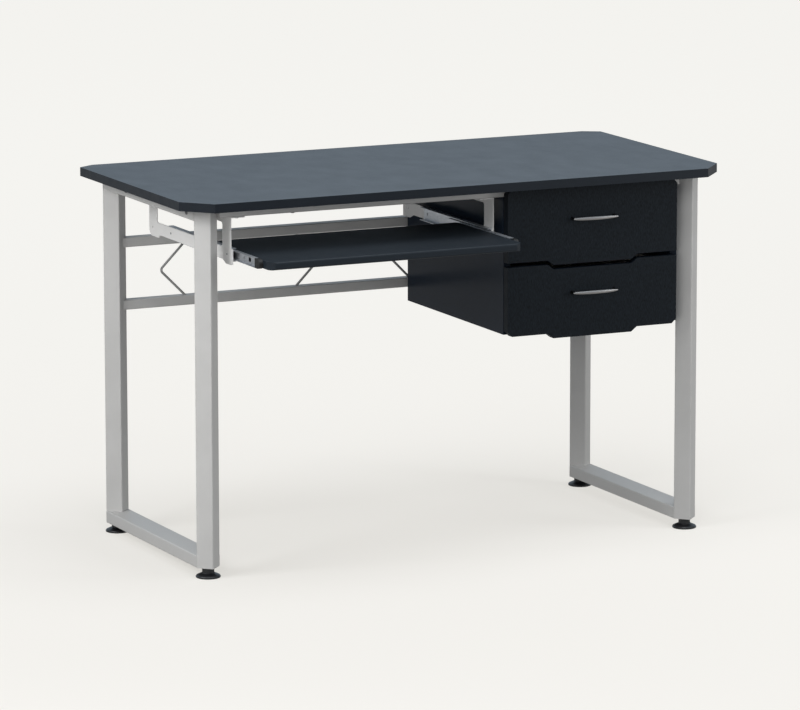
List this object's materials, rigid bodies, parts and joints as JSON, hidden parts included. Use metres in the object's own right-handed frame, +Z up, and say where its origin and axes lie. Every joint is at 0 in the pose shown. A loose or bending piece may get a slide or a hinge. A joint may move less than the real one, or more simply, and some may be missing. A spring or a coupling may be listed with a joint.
{
  "type": "writing desk with drawers",
  "caption": "Writing desk with a chamfered top, tube-steel side frames, a pull-out keyboard tray on ball slides and a hanging pedestal with drawers.",
  "frame": {"origin": "on the floor, at the centre of the footprint's rectangle, with the keyboard tray standing pulled out 132 mm as in the rest pose", "axes": "+X to the sitter's right, towards the drawers; +Y from the sitter to the back; +Z up"},
  "size_m": [1.2, 0.699, 0.762],
  "materials": {
    "top_laminate": "slate grey-blue melamine on particle board, satin with a fine leathery grain",
    "frame_paint": "warm silver-grey powder coat, satin",
    "foot_plastic": "black moulded plastic, semi-gloss",
    "insert_plastic": "black plastic, plain",
    "tray_laminate": "near-black slate laminate with a rounded front edge, satin",
    "bracket_paint": "silver-grey powder coat, satin",
    "slide_zinc": "bright zinc-plated rolled steel",
    "cage_steel": "plain pressed steel, lightly oiled",
    "bumper_plastic": "black moulded plastic",
    "pedestal_laminate": "dark slate laminate, semi-gloss",
    "front_laminate": "near-black laminate with a fine brushed grain, satin",
    "drawer_board": "pale grey paper-foiled board, matt",
    "handle_metal": "satin silver metal",
    "screw_zinc": "zinc-plated steel",
    "bolt_black": "black oxide steel"
  },
  "bodies": {
    "desk": {"desktop": "top_laminate", "left_front_post": "frame_paint", "left_rear_post": "frame_paint", "right_front_post": "frame_paint", "right_rear_post": "frame_paint", "left_bottom_rail": "frame_paint", "right_bottom_rail": "frame_paint", "left_top_rail": "frame_paint", "right_top_rail": "frame_paint", "front_rail": "frame_paint", "rear_cross_rail": "frame_paint", "rear_upper_rail": "frame_paint", "rear_lower_rail": "frame_paint", "left_outer_wire": "frame_paint", "left_inner_wire": "frame_paint", "right_inner_wire": "frame_paint", "right_outer_wire": "frame_paint", "post_inserts": "insert_plastic", "left_tray_bracket": "bracket_paint", "right_tray_bracket": "bracket_paint", "left_tray_channel": "slide_zinc", "right_tray_channel": "slide_zinc", "pedestal_left_side": "pedestal_laminate", "pedestal_right_side": "pedestal_laminate", "pedestal_back": "pedestal_laminate", "pedestal_bottom": "pedestal_laminate", "pedestal_angles": "screw_zinc", "cabinet_channels": "slide_zinc", "frame_bolts": "bolt_black", "desktop_screws": "screw_zinc", "bracket_screws": "screw_zinc", "slide_screws": "screw_zinc"},
    "tray": {"keyboard_tray": "tray_laminate", "left_tray_runner": "slide_zinc", "right_tray_runner": "slide_zinc", "tray_bumpers": "bumper_plastic", "tray_screws": "screw_zinc"},
    "tray_cages": {"tray_ball_cages": "cage_steel"},
    "upper_drawer": {"upper_drawer_front": "front_laminate", "upper_drawer_left_side": "drawer_board", "upper_drawer_right_side": "drawer_board", "upper_drawer_back": "drawer_board", "upper_drawer_bottom": "drawer_board", "upper_drawer_handle": "handle_metal", "upper_drawer_runners": "slide_zinc", "upper_drawer_screws": "screw_zinc"},
    "upper_cages": {"upper_ball_cages": "cage_steel"},
    "lower_drawer": {"lower_drawer_front": "front_laminate", "lower_drawer_left_side": "drawer_board", "lower_drawer_right_side": "drawer_board", "lower_drawer_back": "drawer_board", "lower_drawer_bottom": "drawer_board", "lower_drawer_handle": "handle_metal", "lower_drawer_runners": "slide_zinc", "lower_drawer_screws": "screw_zinc"},
    "lower_cages": {"lower_ball_cages": "cage_steel"},
    "left_front_foot": {"left_front_foot": "foot_plastic"},
    "left_rear_foot": {"left_rear_foot": "foot_plastic"},
    "right_front_foot": {"right_front_foot": "foot_plastic"},
    "right_rear_foot": {"right_rear_foot": "foot_plastic"}
  },
  "joints": [
    {"name": "tray_slide", "type": "slide", "parent": "desk", "child": "tray", "axis": [0, -1, 0], "range_m": [-0.132, 0.093]},
    {"name": "tray_cage_slide", "type": "slide", "parent": "desk", "child": "tray_cages", "axis": [0, -1, 0], "range_m": [-0.066, 0.0465]},
    {"name": "upper_drawer_slide", "type": "slide", "parent": "desk", "child": "upper_drawer", "axis": [0, -1, 0], "range_m": [0, 0.3]},
    {"name": "upper_cage_slide", "type": "slide", "parent": "desk", "child": "upper_cages", "axis": [0, -1, 0], "range_m": [0, 0.15]},
    {"name": "lower_drawer_slide", "type": "slide", "parent": "desk", "child": "lower_drawer", "axis": [0, -1, 0], "range_m": [0, 0.3]},
    {"name": "lower_cage_slide", "type": "slide", "parent": "desk", "child": "lower_cages", "axis": [0, -1, 0], "range_m": [0, 0.15]},
    {"name": "left_front_foot_screw", "type": "slide", "parent": "desk", "child": "left_front_foot", "axis": [0, 0, -1], "range_m": [0, 0.01]},
    {"name": "left_rear_foot_screw", "type": "slide", "parent": "desk", "child": "left_rear_foot", "axis": [0, 0, -1], "range_m": [0, 0.01]},
    {"name": "right_front_foot_screw", "type": "slide", "parent": "desk", "child": "right_front_foot", "axis": [0, 0, -1], "range_m": [0, 0.01]},
    {"name": "right_rear_foot_screw", "type": "slide", "parent": "desk", "child": "right_rear_foot", "axis": [0, 0, -1], "range_m": [0, 0.01]}
  ],
  "couplings": [
    {"joint": "tray_cage_slide", "follows": "tray_slide", "ratio": 0.5},
    {"joint": "upper_cage_slide", "follows": "upper_drawer_slide", "ratio": 0.5},
    {"joint": "lower_cage_slide", "follows": "lower_drawer_slide", "ratio": 0.5}
  ]
}
